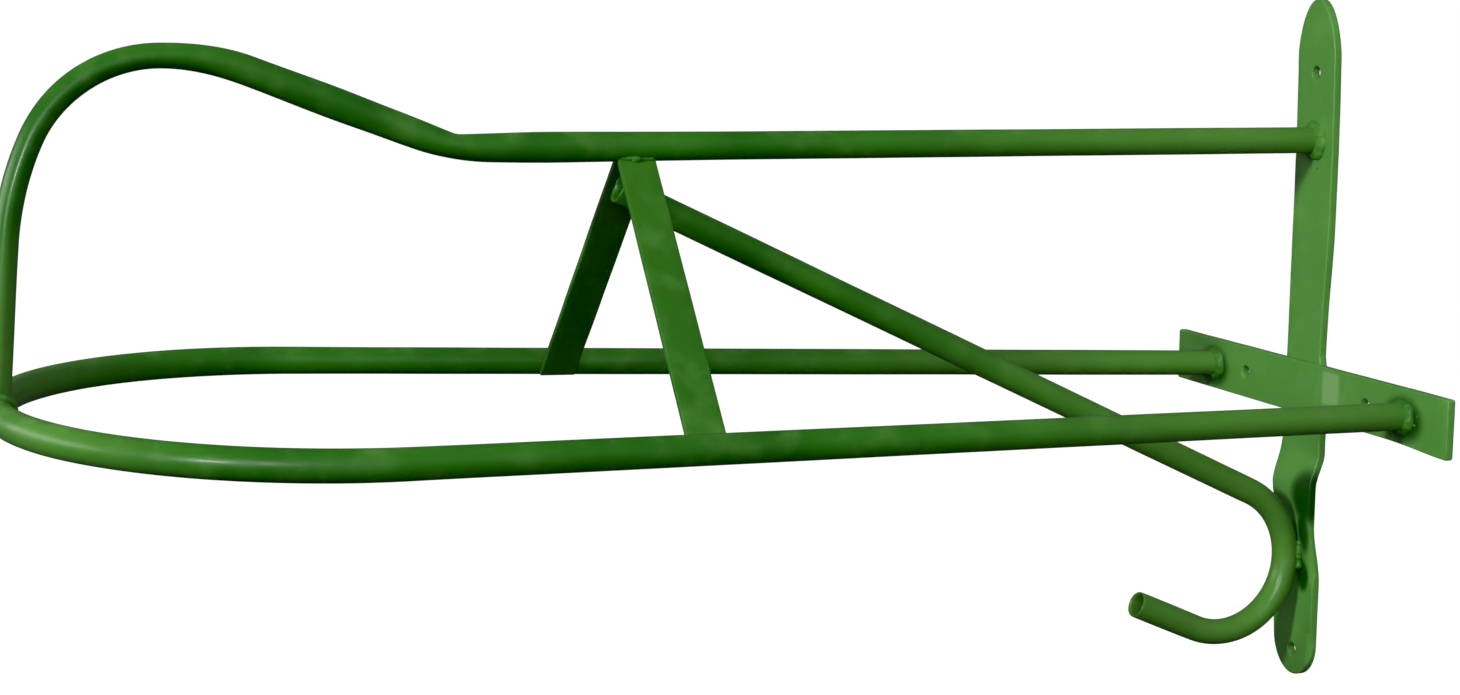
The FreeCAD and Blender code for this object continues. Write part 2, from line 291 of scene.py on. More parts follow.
def open_end(centre, along, up, side, depth):
    """Sawn and deburred tube end: rounded lip, then the bore back to its depth."""
    rings = []
    wall = TUBE_R - BORE_R
    lip = ((1.1, 0.0), (0.5, 0.06), (0.15, 0.2), (0.0, 0.42), (0.12, 0.64), (0.5, 0.9), (1.1, 1.2))
    bore = ((2.4, wall), (depth / 2, wall), (depth, wall))
    for back, inset in lip + bore:
        rings.append(oval(centre - along * back, up, side, TUBE_R - inset, TUBE_R - inset))
    return rings


def make_hoop(material):
    """Closed U of tube; its ends are cut flat against the cross bar."""
    normal = placed(Vector((0, 0, 1))) - placed(Vector((0, 0, 0)))
    rings = []
    for centre, outward in hoop_stations():
        place = placed(centre)
        out = placed(centre + outward) - place
        bent = smooth(NOSE_CENTRE_Y + 60, NOSE_CENTRE_Y - 50, centre.y)
        in_plane = TUBE_R * dent(place) - HOOP_BEND_SQUASH * bent
        across = TUBE_R * dent(place + Vector((50, 0, 0))) + BEND_BULGE * bent
        rings.append(oval(place, out, normal, in_plane, across))
    for end, neighbour in ((0, 1), (-1, -2)):
        run = (sum(rings[end], Vector()) - sum(rings[neighbour], Vector())).normalized()
        rings[end] = [p + run * ((CROSS_FRONT_Y - p.y) / run.y) for p in rings[end]]
    bm = bmesh.new()
    skin(bm, rings)
    return finish_piece("hoop_tube_painted", bm, "hoop_tube", material)


def rail_thickness_knots(ends):
    """Height of the tube's section along the rail: flattened by the bender in the hump and the shoulder."""
    level, bend, slope, crown, shoulder, riser_bend = ends
    kink = (level + bend) / 2
    return [(level - 120, 12.6), (level - 25, 13.3), (kink, 12.0), (bend + 12, 12.9),
            ((bend + slope) / 2, 13.5), (slope, 12.6), (crown, 10.5), ((crown + shoulder) / 2, 10.6),
            (shoulder, 10.1), (riser_bend, 10.4), (riser_bend + 70, 12.3)]


def cope_height(x, y):
    """Top surface of the hoop's nose tube under the riser."""
    axis_y = NOSE.y + x * x / (2 * HOOP_NOSE_RADIUS)
    reach = min(TUBE_R, abs(y - axis_y))
    return NOSE.z + math.sqrt(TUBE_R ** 2 - reach ** 2) - COPE_SINK


def make_saddle_rail(material):
    """One tube: level rail, slope, hump, and riser down to the hoop's nose."""
    bend_reach = RAIL_BEND_RADIUS * math.tan(math.radians(RAIL_SLOPE_DEG / 2))
    riser_turn = RAIL_SLOPE_DEG + 90 - RISER_LEAN_DEG - CROWN_TURN_DEG - SHOULDER_TURN_DEG
    moves = [
        ("line", BAR_FRONT_Y - RAIL_BEND_Y - bend_reach),
        ("arc", RAIL_BEND_RADIUS, -RAIL_SLOPE_DEG),
        ("line", RAIL_SLOPE_LENGTH),
        ("arc", CROWN_RADIUS, CROWN_TURN_DEG),
        ("arc", SHOULDER_RADIUS, SHOULDER_TURN_DEG),
        ("arc", RISER_BEND_RADIUS, riser_turn),
    ]
    stations, ends = symmetric_path(Vector((0, BAR_FRONT_Y, RAIL_Z)), 180, moves)
    top = stations[-1][0]
    down = heading(270 - RISER_LEAN_DEG)
    riser_length = (top.z - NOSE.z) / math.cos(math.radians(RISER_LEAN_DEG)) - 2 * TUBE_R
    count = round(riser_length / LINE_STEP)
    for i in range(1, count + 1):
        stations.append((top + down * (riser_length * i / count), 270 - RISER_LEAN_DEG,
                         ends[-1] + riser_length * i / count))
    knots = rail_thickness_knots(ends)
    rings = []
    side = Vector((1, 0, 0))
    for centre, direction, travelled in stations:
        thick = ease_between(knots, travelled)
        half_up = thick / 2 * dent(centre)
        half_side = TUBE_R + (TUBE_R - thick / 2) * 0.8
        inward = heading(direction - 90)
        ring = oval(centre, inward, side, half_up, half_side)
        into_bend = min(travelled - ends[0], ends[1] - travelled)
        if into_bend > 0:
            pinch = into_bend ** 2 / (2 * RAIL_BEND_RADIUS)
            depths = [smooth(-0.2, 0.9, (p - centre).dot(inward) / half_up) for p in ring]
            ring = [p - inward * (pinch * depth) for p, depth in zip(ring, depths)]
        rings.append(ring)
    foot = stations[-1][0] + down * (2 * TUBE_R)
    last = oval(foot, heading(180 - RISER_LEAN_DEG), side, TUBE_R, TUBE_R)
    rings.append([Vector((p.x, p.y, max(cope_height(p.x, p.y), NOSE.z))) for p in last])
    bm = bmesh.new()
    skin(bm, rings)
    return finish_piece("saddle_rail_painted", bm, "saddle_rail_tube", material)


def brace_path():
    """Stations of the brace and hook, from the brace's top end to the hook's tip."""
    contact = Vector((0, BAR_FRONT_Y - TUBE_R - CONTACT_GAP, HOOK_CONTACT_Z))
    upper_turn = 90 - BRACE_SLOPE_DEG
    upper_centre = contact + heading(180) * HOOK_UPPER_RADIUS
    straight_end = upper_centre + heading(upper_turn) * HOOK_UPPER_RADIUS
    straight_length = (straight_end.y - BRACE_TOP_Y) / math.cos(math.radians(BRACE_SLOPE_DEG))
    start = straight_end + heading(180 - BRACE_SLOPE_DEG) * straight_length
    moves = [
        ("line", straight_length),
        ("arc", HOOK_UPPER_RADIUS, -upper_turn),
        ("arc", HOOK_LOWER_RADIUS, -(90 + HOOK_LIP_RISE_DEG)),
        ("line", HOOK_LIP_LENGTH),
    ]
    return symmetric_path(start, -BRACE_SLOPE_DEG, moves)


def make_brace_and_hook(material):
    """One tube from under the struts to the bar and round into the hook, open at both ends."""
    stations, ends = brace_path()
    side = Vector((1, 0, 0))
    body = []
    for centre, direction, travelled in stations:
        bent = smooth(ends[0] - 10, ends[0] + 20, travelled) * smooth(ends[2] + 10, ends[2] - 20, travelled)
        half_up = TUBE_R * dent(centre) - HOOK_BEND_SQUASH * bent
        body.append(oval(centre, heading(direction - 90), side, half_up, TUBE_R + BEND_BULGE * bent))
    (top, top_turn, _), (tip, tip_turn, _) = stations[0], stations[-1]
    start_rings = open_end(top, heading(top_turn + 180), heading(top_turn - 90), side, BRACE_BORE_DEPTH)
    end_rings = open_end(tip, heading(tip_turn), heading(tip_turn - 90), side, HOOK_BORE_DEPTH)
    bm = bmesh.new()
    skin(bm, start_rings[::-1] + body[1:-1] + end_rings)
    return finish_piece("brace_and_hook_painted", bm, "brace_and_hook_tube", material)


# ---- flat bar meshes ------------------------------------------------------------------------------------
def plate(outline, holes, thickness, edge_round):
    """Plate with rounded edges from a loop of (x, y), centred on z = 0, with its holes choked by enamel."""
    curve = bpy.data.curves.new("plate_outline", "CURVE")
    curve.dimensions = "2D"
    curve.fill_mode = "BOTH"
    for loop in [outline] + [round_loop(x, y, HOLE_R) for x, y in holes]:
        spline = curve.splines.new("POLY")
        spline.points.add(len(loop) - 1)
        for point, (x, y) in zip(spline.points, loop):
            point.co = (x, y, 0, 1)
        spline.use_cyclic_u = True
    curve.extrude = thickness / 2 - edge_round
    curve.bevel_depth = edge_round
    curve.bevel_resolution = 2
    curve.offset = -edge_round
    carrier = bpy.data.objects.new("plate_outline", curve)
    mesh = bpy.data.meshes.new_from_object(carrier)
    bm = bmesh.new()
    bm.from_mesh(mesh)
    bmesh.ops.remove_doubles(bm, verts=bm.verts, dist=0.001)
    for x, y in holes:
        choke_hole(bm, Vector((x, y, 0)), thickness)
    bpy.data.objects.remove(carrier)
    bpy.data.curves.remove(curve)
    bpy.data.meshes.remove(mesh)
    return bm


def choke_hole(bm, centre, thickness):
    """Enamel that ran into a screw hole narrows it towards the back."""
    for vert in bm.verts:
        spoke = Vector((vert.co.x, vert.co.y, 0)) - centre
        if spoke.length < HOLE_R + 1.0:
            back = vert.co.z / thickness + 0.5
            vert.co -= spoke.normalized() * (HOLE_CHOKE_FRONT + HOLE_CHOKE_GROWTH * back)


def slice_plate(bm, axis, low, high, step):
    """Cut lines across the plate, so that it can be bent."""
    normal = Vector((1, 0, 0)) if axis == 0 else Vector((0, 1, 0))
    place = low
    while place < high:
        bmesh.ops.bisect_plane(bm, geom=bm.verts[:] + bm.edges[:] + bm.faces[:], dist=0.0005,
                               plane_co=normal * place, plane_no=normal)
        place += step


def round_loop(x, y, radius, count=28):
    return [(x + radius * math.cos(2 * math.pi * i / count), y + radius * math.sin(2 * math.pi * i / count))
            for i in range(count)]


def vertical_outline():
    """Bullet-shaped top, rounder bottom, and hammered long edges that are not quite straight."""
    half = VERTICAL_BAR_W / 2 + VERTICAL_EDGE_SWELL
    high = BAR_TOP_Z - TOP_TIP_LENGTH
    low = BAR_BOTTOM_Z + BOTTOM_TIP_LENGTH
    loop = []
    for i in range(TIP_STEPS + 1):
        a = math.pi * i / TIP_STEPS
        loop.append((half * math.cos(a), high + TOP_TIP_LENGTH * math.sin(a) ** 1.2))
    for i in range(1, EDGE_STEPS):
        z = high + (low - high) * i / EDGE_STEPS
        loop.append((-half + EDGE_WANDER * noise.noise(Vector((4, z * 0.05, 0))), z))
    for i in range(TIP_STEPS + 1):
        a = math.pi + math.pi * i / TIP_STEPS
        loop.append((half * math.cos(a), low + BOTTOM_TIP_LENGTH * math.sin(a)))
    for i in range(1, EDGE_STEPS):
        z = low + (high - low) * i / EDGE_STEPS
        waist = WAIST_DEPTH * smooth(82, 22, z) * smooth(4, 16, z)
        loop.append((half - waist + EDGE_WANDER * noise.noise(Vector((9, z * 0.05, 0))), z))
    return loop


def bar_bow(x, z):
    """How far the vertical bar stands off the wall: heat and hammer left it wavy under the cross bar."""
    left = LEFT_BOW * bump(-50, 14, z) + LOWER_LEFT_BOW * bump(-112, 16, z)
    right = RIGHT_BOW * smooth(-31, -48, z) * smooth(-97, -66, z)
    share = smooth(-15, 15, x)
    lean = TOP_LEAN * smooth(112, 188, z)
    seat = smooth(-15, -30, z) * (1 - 0.55 * bump(HOOK_CONTACT_Z, 10, z) * bump(0, 9, x))
    return (left * (1 - share) + right * share) * seat + lean


def edge_roll(x, depth, z):
    """The front right edge is hammered over beside the hook and at the bottom end."""
    along = smooth(-60, -72, z) * smooth(-98, -90, z) + 1.1 * smooth(-118, -124, z)
    return EDGE_ROLL_DEPTH * along * smooth(12.2, 15.6, x) * smooth(0.5, -1.4, depth)


def make_vertical_bar(material):
    """Long bar flat on the wall above the cross bar and bowed off it below."""
    holes = [(0, UPPER_HOLE_Z), (0, LOWER_HOLE_Z)]
    bm = plate(vertical_outline(), holes, BAR_T, VERTICAL_EDGE_ROUND)
    slice_plate(bm, 1, BAR_BOTTOM_Z + 2, BAR_TOP_Z - 1, 3.7)
    slice_plate(bm, 0, -12, 13, 4)
    slice_plate(bm, 0, 13, 14.8, 0.8)
    for vert in bm.verts:
        x, z, depth = vert.co
        forward = bar_bow(x, z) + 0.12 * noise.noise(Vector((x, z, 0)) * 0.06)
        vert.co = Vector((x, -BAR_T / 2 + depth - max(0.0, forward) + edge_roll(x, depth, z), z))
    return finish_piece("vertical_bar_painted", bm, "vertical_wall_bar", material)


def make_cross_bar(material):
    """Sheared flat bar with drilled holes, clipped corners and a droop at its lower right."""
    half_l, half_w = CROSS_BAR_LENGTH / 2, CROSS_BAR_W / 2 + CROSS_EDGE_SWELL
    loop = []
    for sx, sy in ((1, 1), (-1, 1), (-1, -1), (1, -1)):
        a = (sx * half_l, sy * (half_w - CROSS_CORNER))
        b = (sx * (half_l - CROSS_CORNER), sy * half_w)
        loop += [a, b] if sx * sy > 0 else [b, a]
    shift = CROSS_HOLE_OFFSET_X - CROSS_BAR_OFFSET_X
    holes = [(shift + side * CROSS_HOLE_SPACING / 2, 0) for side in (-1, 1)]
    bm = plate(loop, holes, BAR_T, CROSS_EDGE_ROUND)
    slice_plate(bm, 0, -half_l + 3, half_l - 1, 5.0)
    slice_plate(bm, 1, -half_w + 3.5, half_w - 2, 4.5)
    for vert in bm.verts:
        x, z, depth = vert.co
        wave = 0.15 * noise.noise(Vector((x * 0.03, z * 0.05, 7)))
        flare = CORNER_FLARE * smooth(68, half_l, x) * smooth(half_w, -half_w, z)
        rise = CROSS_BAR_TILT * x + 0.15 * noise.noise(Vector((x * 0.04, 0, 3))) - flare
        vert.co = Vector((x + CROSS_BAR_OFFSET_X, CROSS_FRONT_Y + BAR_T / 2 + depth + wave, z + rise))
    return finish_piece("cross_bar_painted", bm, "cross_wall_bar", material)


class StrutLine:
    """Outer face of a strut in its own plane: it leans on the arm's inner flank."""

    def __init__(self, side):
        arm = arm_point(side, STRUT_Y)
        drop = STRUT_APEX_Z - arm.z
        span = math.hypot(arm.x, drop)
        angle = math.atan2(drop, abs(arm.x)) + math.asin(TUBE_R / span)
        self.touch = math.sqrt(span ** 2 - TUBE_R ** 2)
        self.down = self.lean(Vector((side * math.cos(angle), 0, -math.sin(angle))))
        self.out = self.lean(Vector((side * math.sin(angle), 0, math.cos(angle))))
        self.across = self.lean(Vector((0, 1, 0)))
        self.apex = Vector((0, STRUT_Y, STRUT_APEX_Z))

    @staticmethod
    def lean(vector):
        return Matrix.Rotation(-math.radians(STRUT_LEAN_DEG), 3, "X") @ vector

    def at(self, along, across, outward):
        return self.apex + self.down * along + self.across * across + self.out * outward


def make_strut(name, side, material):
    """Flat bar from the rail down to the inner flank of an arm."""
    line = StrutLine(side)
    start, end = STRUT_TOP_GAP, line.touch + STRUT_FOOT_OVERRUN - STRUT_FOOT_DRESSED
    half = STRUT_W / 2
    outline = [(start, -half), (end, -half), (end, half), (start, half)]
    bm = plate(outline, [], STRUT_T, STRUT_EDGE_ROUND)
    slice_plate(bm, 0, start + 4, end - 1, 6.0)
    slice_plate(bm, 1, -half + 4, half - 3, 4.0)
    for vert in bm.verts:
        along, across, depth = vert.co
        wave = 0.25 * noise.noise(Vector((along * 0.02, across * 0.03, side * 5)))
        sway = 0.2 * noise.noise(Vector((along * 0.03, side * 9, 2)))
        vert.co = line.at(along, across + sway, depth - STRUT_T / 2 + wave)
    return finish_piece(name + "_strut_painted", bm, name + "_strut", material)


# ---- weld meshes ----------------------------------------------------------------------------------------
def finish_weld(node, bm, material):
    return finish_piece(node + "_bead", bm, node, material)


def bead(bm, path, normals, radius, looped, seed, ripple=0.07, lumps=0.3):
    """Rippled bead: a round section swept along the joint, half sunk in both parts."""
    pitch = 2.4
    shift = Vector((seed * 7.3, seed * 3.1, seed * 1.7))
    rings = []
    travelled = 0.0
    total = sum((b - a).length for a, b in zip(path, path[1:]))
    for i, point in enumerate(path):
        if i:
            travelled += (point - path[i - 1]).length
        ahead = path[(i + 1) % len(path)] if looped else path[min(i + 1, len(path) - 1)]
        behind = path[i - 1] if looped or i else path[0]
        along = (ahead - behind).normalized()
        across = along.cross(normals[i]).normalized()
        up = across.cross(along)
        wave = 1 + ripple * (abs(math.sin(math.pi * travelled / pitch)) - 0.6)
        lump = 1 + lumps * noise.noise(point * 0.19 + shift)
        lump += 0.5 * lumps * noise.noise(point * 0.5 + shift)
        size = radius * wave * lump
        if not looped:
            near_end = min(travelled, total - travelled)
            size *= math.sqrt(max(0.03, 1 - (1 - min(1.0, near_end / radius)) ** 2))
        rings.append(oval(point, up, across, size, size, BEAD_RING_POINTS))
    skin(bm, rings, looped=looped)


def blob(bm, centre, radii, seed):
    """A lump of weld metal."""
    made = bmesh.ops.create_icosphere(bm, subdivisions=3, radius=1.0)
    shift = Vector((seed * 2.9, seed * 5.3, seed))
    for vert in made["verts"]:
        n = vert.co.copy()
        swell = 1 + 0.2 * noise.noise(n * 1.6 + shift) + 0.08 * noise.noise(n * 4 + shift)
        vert.co = centre + Vector((n.x * radii[0], n.y * radii[1], n.z * radii[2])) * swell


def spatter(bm, spots, seed):
    """Small balls of weld metal stuck near the joint and painted over."""
    draw = random.Random(seed)
    for spot in spots:
        size = draw.uniform(0.3, 0.75)
        made = bmesh.ops.create_icosphere(bm, subdivisions=2, radius=size)
        for vert in made["verts"]:
            vert.co += spot


def collar(bm, centre, reach, rise, lobes, seed):
    """Lumpy fillet round a tube on a plate that faces -Y; lobes are (degrees, extra reach, width)."""
    shift = Vector((seed * 3.7, seed * 1.3, seed * 5.9))
    sections = []
    for i in range(COLLAR_SPOKES):
        a = 2 * math.pi * i / COLLAR_SPOKES
        spoke = Vector((math.cos(a), 0, math.sin(a)))
        swell = 0.0
        for degrees, extra, width in lobes:
            away = (math.degrees(a) - degrees + 180) % 360 - 180
            swell += extra * math.exp(-(away / width) ** 2)
        uneven = noise.noise(spoke * 1.7 + shift)
        out = reach * (1 + 0.22 * uneven) + swell
        up = rise * (1 + 0.28 * noise.noise(spoke * 2.3 - shift)) + 0.45 * swell
        section = [centre + spoke * (TUBE_R - 0.6) + Vector((0, 0.4, 0))]
        for k in range(COLLAR_STEPS + 1):
            t = math.pi / 2 * k / COLLAR_STEPS
            along = TUBE_R - 0.25 + (out + 0.25) * math.sin(t) ** 1.25
            away = up * math.cos(t) ** 1.1
            place = centre + spoke * along - Vector((0, away - 0.25 * math.sin(t), 0))
            soft = math.sin(2 * t)
            ripple = noise.noise(place * 0.4 + shift) * 0.4 + noise.noise(place * 1.1 - shift) * 0.1
            section.append(place + (spoke * math.sin(t) - Vector((0, math.cos(t), 0))) * (ripple * soft))
        sections.append(section)
    skin(bm, sections, looped=True)


def straight_path(start, direction, length, count=JOINT_STEPS):
    return [start + direction * (length * i / count) for i in range(count + 1)]


def strut_path(line, along, outward, end_margin):
    """Across a strut, from edge to edge less a margin at both ends."""
    run = STRUT_W - 2 * end_margin
    places = [-STRUT_W / 2 + end_margin + run * i / JOINT_STEPS for i in range(JOINT_STEPS + 1)]
    return [line.at(along, across, outward) for across in places]


def plate_spots(centre_x, centre_z, y, low, high, count, seed):
    """Random places on a plate, between two distances from a centre."""
    draw = random.Random(seed)
    spots = []
    for _ in range(count):
        a, r = draw.uniform(0, 2 * math.pi), draw.uniform(low, high)
        spots.append(Vector((centre_x + r * math.cos(a), y, centre_z + r * math.sin(a))))
    return spots


def make_rail_wall_weld(material):
    """Heavy, lumpy collar where the rail stands on the vertical bar."""
    bm = bmesh.new()
    lobes = ((30, 1.5, 24), (-10, 1.2, 18), (-52, 1.4, 22), (100, 0.5, 26), (160, 0.6, 24), (255, 0.8, 26))
    collar(bm, Vector((0, BAR_FRONT_Y, RAIL_Z)), 2.6, 3.0, lobes, 1)
    spatter(bm, plate_spots(0, RAIL_Z, BAR_FRONT_Y, 10.5, 14, 4, 5), 6)
    return finish_weld("rail_wall_weld", bm, material)


def make_hoop_end_weld(name, side, material):
    """Collar where one of the hoop's arms stands on the cross bar."""
    bm = bmesh.new()
    centre_x = arm_point(side, CROSS_FRONT_Y).x
    lobes = ((40, 0.8, 30), (-20, 1.2, 26), (-75, 0.8, 28), (120, 0.5, 26), (235, 0.7, 30))
    collar(bm, Vector((centre_x, CROSS_FRONT_Y, 0)), 1.8, 2.4, lobes, 4 + side)
    spatter(bm, plate_spots(centre_x, 0, CROSS_FRONT_Y, 10.0, 12, 2, 21 + side), 22 + side)
    return finish_weld(name + "_hoop_end_weld", bm, material)


def make_nose_weld(material):
    """Collar where the riser stands on the hoop's nose."""
    bm = bmesh.new()
    path = []
    radius = TUBE_R + 0.35
    for p in oval(Vector((0, NOSE.y, 0)), Vector((0, -1, 0)), Vector((1, 0, 0)), radius, radius, 90):
        path.append(Vector((p.x, p.y, cope_height(p.x, p.y) + 1.0)))
    normals = [Vector((p.x, p.y - NOSE.y, 3)).normalized() for p in path]
    bead(bm, path, normals, 1.55, True, 8)
    return finish_weld("rail_nose_weld", bm, material)


def make_strut_top_weld(name, side, material):
    """Thin bead along the strut's top, with a lump in its middle, on the flank of the rail."""
    bm = bmesh.new()
    line = StrutLine(side)
    corner = math.sqrt(TUBE_R ** 2 - 1.0) - 1.0
    path = strut_path(line, corner - 0.2, 0.2, 1.0)
    bead(bm, path, [line.out] * len(path), 1.1, False, 13 + side, ripple=0.03, lumps=0.4)
    blob(bm, line.at(corner, -0.5, 0.0), (2.3, 2.8, 1.9), 31 + side)
    return finish_weld(name + "_strut_top_weld", bm, material)


def make_strut_foot_weld(name, side, material):
    """Well-filled fillet in the notch between the strut's outer face and the top of the arm."""
    bm = bmesh.new()
    line = StrutLine(side)
    for back, seed in ((6.0, 1), (4.0, 2)):
        path = strut_path(line, line.touch - back, 0.35, 0.6)
        bead(bm, path, [line.out] * len(path), 2.0, False, 17 + side * seed, ripple=0.03, lumps=0.16)
    return finish_weld(name + "_strut_foot_weld", bm, material)


def make_brace_weld(name, side, material):
    """Short bead that bridges the brace's top end and the strut's inner face."""
    bm = bmesh.new()
    axis = heading(-BRACE_SLOPE_DEG / 2)
    brace_top = brace_path()[0][0][0]
    start = brace_top + axis * BEAD_END_MARGIN + Vector((side * BRACE_BEAD_OUT, 0, BRACE_BEAD_UP))
    path = straight_path(start, axis, BRACE_BEAD_LENGTH)
    normal = Vector((side, 0, -0.5)).normalized()
    bead(bm, path, [normal] * len(path), 2.9, False, 23 + side, ripple=0.05, lumps=0.25)
    return finish_weld(name + "_brace_top_weld", bm, material)


def make_hook_weld(name, side, material):
    """Low bead in the notch between the back of the hook and the vertical bar."""
    bm = bmesh.new()
    low_z = HOOK_CONTACT_Z + 1.5 - HOOK_BEAD_LENGTH / 2
    start = Vector((side * (TUBE_R - 1.2), BAR_FRONT_Y - 1.6, low_z))
    path = straight_path(start, Vector((0, 0, 1)), HOOK_BEAD_LENGTH, 50)
    normal = Vector((side, -1, 0)).normalized()
    bead(bm, path, [normal] * len(path), 2.2, False, 29 + side, ripple=0.02, lumps=0.5)
    return finish_weld(name + "_hook_weld", bm, material)


def make_bar_lower_weld(material):
    """Bead under the cross bar, across the front of the vertical bar."""
    bm = bmesh.new()
    half = VERTICAL_BAR_W / 2 - BEAD_END_MARGIN
    start = Vector((-half, BAR_FRONT_Y - 0.3, -CROSS_BAR_W / 2 - 0.3))
    path = straight_path(start, Vector((1, 0, 0)), 2 * half, 70)
    bead(bm, path, [Vector((0, -1, -1)).normalized()] * len(path), 1.9, False, 37)
    return finish_weld("bar_joint_lower_weld", bm, material)


def make_bar_back_weld(name, side, material):
    """Bead behind the cross bar, down one side of the vertical bar."""
    bm = bmesh.new()
    half = CROSS_BAR_W / 2 - BEAD_END_MARGIN
    start = Vector((side * (VERTICAL_BAR_W / 2 + 0.1), BAR_FRONT_Y + 0.7, -half))
    path = straight_path(start, Vector((0, 0, 1)), 2 * half, 60)
    bead(bm, path, [Vector((side, 1, 0)).normalized()] * len(path), 1.6, False, 41 + side)
    return finish_weld(name + "_bar_joint_back_weld", bm, material)


# ---- paint ----------------------------------------------------------------------------------------------
# (deep, main, pale) greens of the same enamel: palest on the wall bars; the shaded weld greens are a darker
# copy that paints shade round the hoop's ends and beside the hook
TUBE_GREENS = ((0.010, 0.085, 0.003), (0.0175, 0.114, 0.0050), (0.074, 0.196, 0.030))
FLAT_GREENS = ((0.016, 0.098, 0.003), (0.027, 0.125, 0.0055), (0.092, 0.264, 0.054))
STRUT_GREENS = ((0.015, 0.096, 0.003), (0.025, 0.116, 0.0050), (0.060, 0.190, 0.030))
WELD_GREENS = ((0.008, 0.080, 0.002), (0.018, 0.120, 0.0050), (0.055, 0.190, 0.020))
SHADED_WELD_GREENS = ((0.003, 0.045, 0.0010), (0.008, 0.080, 0.0020), (0.030, 0.140, 0.009))
DUST = (0.20, 0.27, 0.14)
# noise scales, per metre
CLOUD_SCALE = 16.0
BLOTCH_SCALE = 70.0
SAG_SCALE = 90.0
PEEL_SCALE = 620.0
# heights of the orange peel and of the sags, metres
PEEL_HEIGHT = 0.00012
SAG_HEIGHT = 0.0009
# painted light: paler towards the wall, and on the nose and the riser's foot: (from, to, amount at each),
# metres
PAINTED_LIGHT_TO_WALL = (-0.30, -0.05, 0.0, 0.58)
PAINTED_LIGHT_TO_NOSE = (-0.61, -0.54, 0.5, 0.0)
PAINTED_LIGHT_LOW_DOWN = (0.06, 0.10, 1.0, 0.0)
# a painted highlight, a pale patch on the cross bar's face: where each edge of it fades, metres
PAINTED_HIGHLIGHT_LEFT = (0.0205, 0.0235)
PAINTED_HIGHLIGHT_RIGHT = (0.0335, 0.0370)
PAINTED_HIGHLIGHT_BOTTOM = (-0.0060, -0.0035)
PAINTED_HIGHLIGHT_TOP = (0.0100, 0.0120)
PAINTED_HIGHLIGHT_FACE = (-0.0076, -0.0068)
PAINTED_HIGHLIGHT_GREEN = (0.17, 0.31, 0.12)
# painted shadow: dark ovals on the wall bars beside the hook's weld and round the hoop's ends: (centre x, z,
# half width, half height)
PAINTED_SHADOWS = (
    (0.0125, -0.0530, 0.0125, 0.0140),
    (0.0102, -0.0700, 0.0048, 0.0120),
    (0.0073, -0.0932, 0.0048, 0.0085),
    (0.0860, -0.0015, 0.0150, 0.0110),
    (-0.0750, -0.0015, 0.0140, 0.0110),
)
PAINTED_SHADOW_REACH = (-0.016, -0.012)
PAINTED_SHADOW_GREEN = (0.002, 0.036, 0.0006)


class Nodes:
    """Short hand for building a node tree."""

    def __init__(self, owner):
        owner.use_nodes = True
        self.tree = owner.node_tree
        self.tree.nodes.clear()

    def add(self, kind, **values):
        node = self.tree.nodes.new(kind)
        for key, value in values.items():
            node.inputs[key].default_value = value
        return node

    def link(self, source, target):
        self.tree.links.new(source, target)

    def split(self, vector):
        """The X, Y and Z of a vector."""
        node = self.add("ShaderNodeSeparateXYZ")
        self.link(vector, node.inputs[0])
        return node.outputs["X"], node.outputs["Y"], node.outputs["Z"]

    def noise(self, coordinate, scale, detail):
        node = self.add("ShaderNodeTexNoise", Scale=scale, Detail=detail, Roughness=0.55)
        self.link(coordinate, node.inputs["Vector"])
        return node.outputs["Fac"]

    def spread(self, value, low, high, to_low=0.0, to_high=1.0):
        """Smooth step from one amount at low to another at high."""
        node = self.add("ShaderNodeMapRange")
        node.interpolation_type = "SMOOTHSTEP"
        for name, amount in (("From Min", low), ("From Max", high), ("To Min", to_low), ("To Max", to_high)):
            node.inputs[name].default_value = amount
        self.link(value, node.inputs["Value"])
        return node.outputs["Result"]

    def blend(self, factor, first, second):
        node = self.add("ShaderNodeMix")
        node.data_type = "RGBA"
        for socket, value in ((node.inputs[0], factor), (node.inputs[6], first), (node.inputs[7], second)):
            if isinstance(value, tuple):
                socket.default_value = (*value, 1)
            else:
                self.link(value, socket)
        return node.outputs[2]

    def maths(self, operation, first, second):
        node = self.add("ShaderNodeMath")
        node.operation = operation
        for socket, value in zip(node.inputs, (first, second)):
            if isinstance(value, (int, float)):
                socket.default_value = value
            else:
                self.link(value, socket)
        return node.outputs[0]

    def product(self, first, *others):
        for other in others:
            first = self.maths("MULTIPLY", first, other)
        return first

    def bump(self, height, strength, distance, under=None):
        node = self.add("ShaderNodeBump", Strength=strength, Distance=distance)
        self.link(height, node.inputs["Height"])
        if under:
            self.link(under, node.inputs["Normal"])
        return node.outputs["Normal"]


def painted_highlight_amount(n, x, y, z):
    """How much of the painted highlight, a pale patch on the cross bar's face, lies at a point."""
    across = n.product(n.spread(x, *PAINTED_HIGHLIGHT_LEFT), n.spread(x, *PAINTED_HIGHLIGHT_RIGHT, 1.0, 0.0))
    upright = n.product(n.spread(z, *PAINTED_HIGHLIGHT_BOTTOM), n.spread(z, *PAINTED_HIGHLIGHT_TOP, 1.0, 0.0))
    return n.product(across, upright, n.spread(y, *PAINTED_HIGHLIGHT_FACE, 1.0, 0.0))


